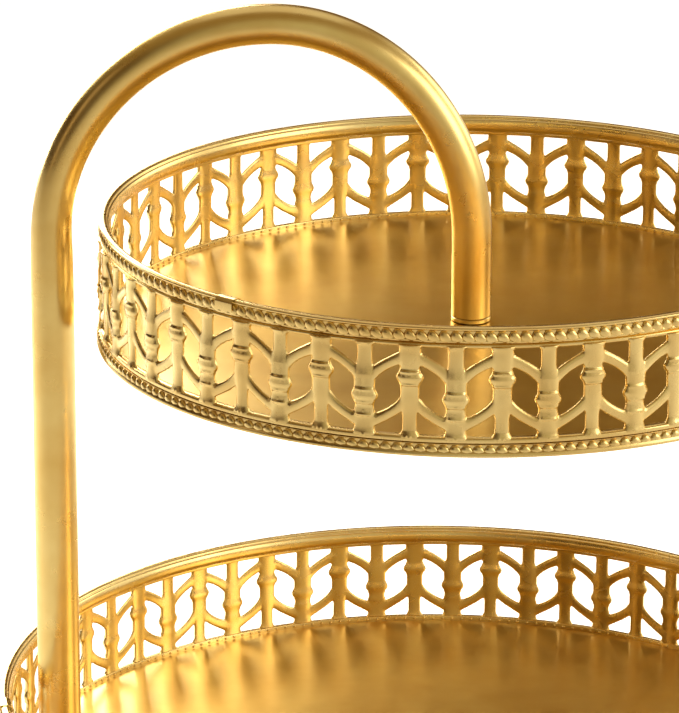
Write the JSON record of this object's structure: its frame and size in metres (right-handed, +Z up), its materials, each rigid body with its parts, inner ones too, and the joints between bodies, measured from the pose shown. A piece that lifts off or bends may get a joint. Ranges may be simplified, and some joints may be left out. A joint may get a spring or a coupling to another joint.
{
  "type": "tiered cake stand",
  "caption": "Two-tier round cake stand with pierced lattice galleries and beaded rims, its upper tray hung from an arched tube and free to turn on its screw.",
  "frame": {"origin": "on the table under the centre of the lower tray, at the bottom of the foot pads", "axes": "+Z up; the post stands on the -X side and the arch runs along X; +Y is the back"},
  "size_m": [0.3076, 0.3074, 0.2826],
  "materials": {
    "satin_gold": "gold-plated sheet and tube, satin, lacquered",
    "bright_gold": "gold-plated pressed strip, bright, lacquered",
    "zinc_steel": "bright zinc-plated steel",
    "clear_rubber": "milky self-adhesive bumper"
  },
  "bodies": {
    "base": {"lower_pan": "satin_gold", "lower_gallery": "bright_gold", "lower_rim": "bright_gold", "lower_foot_band": "bright_gold", "lower_rim_joiner": "bright_gold", "foot_pad_1": "clear_rubber", "foot_pad_2": "clear_rubber", "foot_pad_3": "clear_rubber", "foot_pad_4": "clear_rubber", "post_end_plug": "satin_gold", "post_backing_plate": "zinc_steel", "post_lock_washer": "zinc_steel", "post_screw": "zinc_steel", "arch_tube": "satin_gold", "hanger_end_plug": "satin_gold", "hanger_flat_washer": "zinc_steel", "hanger_wave_washer": "zinc_steel", "hanger_screw": "zinc_steel"},
    "upper_tray": {"upper_pan": "satin_gold", "upper_gallery": "bright_gold", "upper_rim": "bright_gold", "upper_foot_band": "bright_gold", "upper_rim_joiner": "bright_gold"}
  },
  "joints": [
    {"name": "upper_tray_swivel", "type": "hinge", "parent": "base", "child": "upper_tray", "pos_m": [0.0085, 0, 0.174], "axis": [0, 0, 1], "continuous": true}
  ]
}
